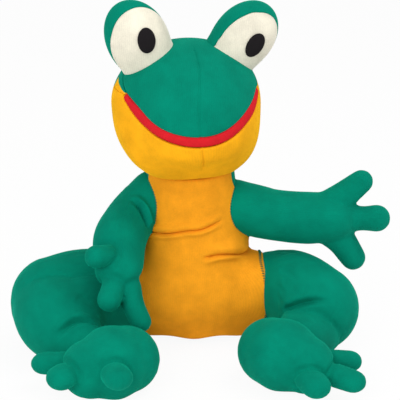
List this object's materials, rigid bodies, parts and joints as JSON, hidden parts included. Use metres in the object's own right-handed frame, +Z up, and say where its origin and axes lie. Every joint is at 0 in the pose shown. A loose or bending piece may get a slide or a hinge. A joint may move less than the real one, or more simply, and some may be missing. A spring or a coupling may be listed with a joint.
{
  "type": "frog hand puppet",
  "caption": "Sitting plush frog hand puppet: a lined sleeve leads a hand into the head to open the red-lipped mouth; stuffed arms and folded legs hinge at their seams.",
  "frame": {"origin": "under the middle of the puppet's bounding box, on the surface that it sits on", "axes": "+X to the frog's own left, along the spread of arms and legs; the frog looks along -Y; +Z up"},
  "size_m": [0.3708, 0.2694, 0.3426],
  "materials": {
    "green_plush": "short-pile velour plush",
    "yellow_plush": "short-pile velour plush",
    "red_plush": "short-pile velour plush",
    "white_plush": "short-pile velour plush",
    "black_felt": "smooth felt",
    "filling": "loose polyester wadding",
    "mouth_board": "matt stiff sheet",
    "lining_cloth": "plain woven lining"
  },
  "bodies": {
    "torso": {"belly_panel": "yellow_plush", "back_panel": "green_plush", "hem_tape": "lining_cloth", "sleeve_lining": "lining_cloth", "armhole_collar_left": "green_plush", "armhole_collar_right": "green_plush"},
    "neck": {"neck_band": "yellow_plush"},
    "jaw": {"chin_cover": "yellow_plush", "chin_padding": "filling", "lower_mouth_lining": "red_plush", "lower_mouth_board": "mouth_board", "mouth_fold_tape": "red_plush", "thumb_pocket": "lining_cloth", "nape_panel": "green_plush"},
    "upper_head": {"crown_cover": "green_plush", "crown_padding": "filling", "upper_mouth_lining": "red_plush", "upper_mouth_board": "mouth_board", "finger_pocket": "lining_cloth", "eye_hood_left": "green_plush", "eye_white_left": "white_plush", "eye_filling_left": "filling", "pupil_left": "black_felt", "eye_hood_right": "green_plush", "eye_white_right": "white_plush", "eye_filling_right": "filling", "pupil_right": "black_felt"},
    "arm_left": {"arm_left_skin": "green_plush", "arm_left_filling": "filling"},
    "arm_right": {"arm_right_skin": "green_plush", "arm_right_filling": "filling"},
    "thigh_left": {"thigh_left_skin": "green_plush", "thigh_left_filling": "filling"},
    "lower_leg_left": {"shin_left_skin": "green_plush", "shin_left_filling": "filling", "foot_left_skin": "green_plush", "foot_left_filling": "filling"},
    "thigh_right": {"thigh_right_skin": "green_plush", "thigh_right_filling": "filling"},
    "lower_leg_right": {"shin_right_skin": "green_plush", "shin_right_filling": "filling", "foot_right_skin": "green_plush", "foot_right_filling": "filling"}
  },
  "joints": [
    {"name": "neck_turn", "type": "hinge", "parent": "torso", "child": "neck", "pos_m": [-0.00921, 0.06226, 0.23903], "axis": [0, 0, 1], "range_deg": [-35, 35]},
    {"name": "neck_nod", "type": "hinge", "parent": "neck", "child": "jaw", "pos_m": [-0.00921, 0.06226, 0.23903], "axis": [0.9781, 0.2079, 0], "range_deg": [-15, 8]},
    {"name": "mouth_hinge", "type": "hinge", "parent": "jaw", "child": "upper_head", "pos_m": [-0.00298, 0.03292, 0.25603], "axis": [-0.9781, -0.2079, 0], "range_deg": [0, 28], "deforming": ["nape_panel"]},
    {"name": "shoulder_left", "type": "hinge", "parent": "torso", "child": "arm_left", "pos_m": [0.06598, 0.05826, 0.127], "axis": [0, -1, 0], "range_deg": [0, 45]},
    {"name": "shoulder_right", "type": "hinge", "parent": "torso", "child": "arm_right", "pos_m": [-0.07346, 0.05826, 0.136], "axis": [-1, 0, 0], "range_deg": [0, 60]},
    {"name": "hip_left", "type": "hinge", "parent": "torso", "child": "thigh_left", "pos_m": [0.08179, 0.05226, 0.05], "axis": [1, 0, 0], "range_deg": [0, 60]},
    {"name": "hip_right", "type": "hinge", "parent": "torso", "child": "thigh_right", "pos_m": [-0.09021, 0.05226, 0.05], "axis": [1, 0, 0], "range_deg": [0, 60]},
    {"name": "knee_left", "type": "hinge", "parent": "thigh_left", "child": "lower_leg_left", "pos_m": [0.11379, 0.01426, 0.043], "axis": [0.9446, -0.3281, 0], "range_deg": [0, 60]},
    {"name": "knee_right", "type": "hinge", "parent": "thigh_right", "child": "lower_leg_right", "pos_m": [-0.14321, 0.03226, 0.043], "axis": [0.9023, 0.4311, 0], "range_deg": [0, 60]}
  ]
}
